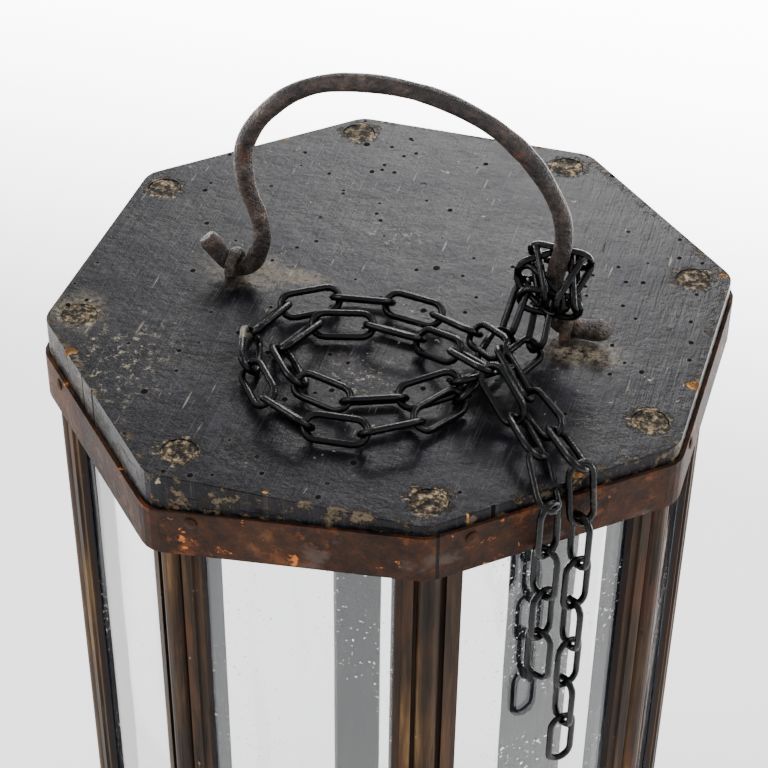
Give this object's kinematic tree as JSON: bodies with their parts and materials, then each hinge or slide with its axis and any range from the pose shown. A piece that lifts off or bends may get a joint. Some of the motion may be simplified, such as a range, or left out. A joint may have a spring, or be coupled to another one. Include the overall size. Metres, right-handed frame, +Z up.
{
  "type": "barn lantern",
  "caption": "Octagonal wooden candle lantern with glazed sides, a hinged glazed door, iron bands, a forged bail handle in staples, and a loose chain for hanging it.",
  "frame": {"origin": "on the floor, in the middle of the lantern's base", "axes": "+Z up; the front face looks along -Y; the handle's axis runs along X; the door is in the face that looks between +X and +Y"},
  "size_m": [0.2849, 0.2855, 0.6118],
  "materials": {
    "black_board": "old black paint, worn and dusty",
    "old_wood": "weathered, once stained, open grain",
    "rusty_iron": "rusty sheet and wire",
    "handle_iron": "dark forged iron with some rust",
    "chain_steel": "blackened",
    "tinplate": "dull, smoked",
    "clear_glass": "clear, a little dusty"
  },
  "bodies": {
    "lantern": {"base_board": "black_board", "bottom_band": "rusty_iron", "bottom_nail_back_right": "rusty_iron", "bottom_nail_front_left": "rusty_iron", "bottom_nail_left_back": "rusty_iron", "bottom_nail_right_front": "rusty_iron", "candle_socket": "tinplate", "chain_coil": "chain_steel", "chain_end_long": "chain_steel", "chain_end_short": "chain_steel", "chain_lead": "chain_steel", "door_head": "old_wood", "door_sill": "old_wood", "drip_pan": "tinplate", "heat_shield": "tinplate", "hinge_lower_frame_leaf": "handle_iron", "hinge_lower_pin": "handle_iron", "hinge_upper_frame_leaf": "handle_iron", "hinge_upper_pin": "handle_iron", "holder_screw": "handle_iron", "latch_screw": "handle_iron", "pane_back": "clear_glass", "pane_back_left": "clear_glass", "pane_front": "clear_glass", "pane_front_left": "clear_glass", "pane_front_right": "clear_glass", "pane_left": "clear_glass", "pane_right": "clear_glass", "post_back_left": "old_wood", "post_back_right": "old_wood", "post_front_left": "old_wood", "post_front_right": "old_wood", "post_left_back": "old_wood", "post_left_front": "old_wood", "post_right_back": "old_wood", "post_right_front": "old_wood", "shield_nail": "rusty_iron", "staple_left": "rusty_iron", "staple_right": "rusty_iron", "top_band": "rusty_iron", "top_board": "black_board", "top_nail_back_left": "rusty_iron", "top_nail_back_right": "rusty_iron", "top_nail_front_left": "rusty_iron", "top_nail_front_right": "rusty_iron", "top_nail_left_back": "rusty_iron", "top_nail_left_front": "rusty_iron", "top_nail_right_back": "rusty_iron", "top_nail_right_front": "rusty_iron"},
    "handle": {"handle": "handle_iron", "chain_knot": "chain_steel"},
    "door": {"door_knob": "handle_iron", "door_pane": "clear_glass", "door_rail_bottom": "old_wood", "door_rail_top": "old_wood", "door_stile_hinge": "old_wood", "door_stile_latch": "old_wood", "hinge_lower_door_leaf": "handle_iron", "hinge_upper_door_leaf": "handle_iron"},
    "latch": {"latch_button": "handle_iron"}
  },
  "joints": [
    {"name": "handle_swing", "type": "hinge", "parent": "lantern", "child": "handle", "pos_m": [0, -0.005, 0.5052], "axis": [1, 0, 0], "range_deg": [-75, 25]},
    {"name": "door_swing", "type": "hinge", "parent": "lantern", "child": "door", "pos_m": [0.06774, 0.12714, 0.25], "axis": [0, 0, 1], "range_deg": [0, 100]},
    {"name": "latch_turn", "type": "hinge", "parent": "lantern", "child": "latch", "pos_m": [0.12961, 0.06343, 0.262], "axis": [0.7071, 0.7071, 0], "range_deg": [0, 90]}
  ]
}
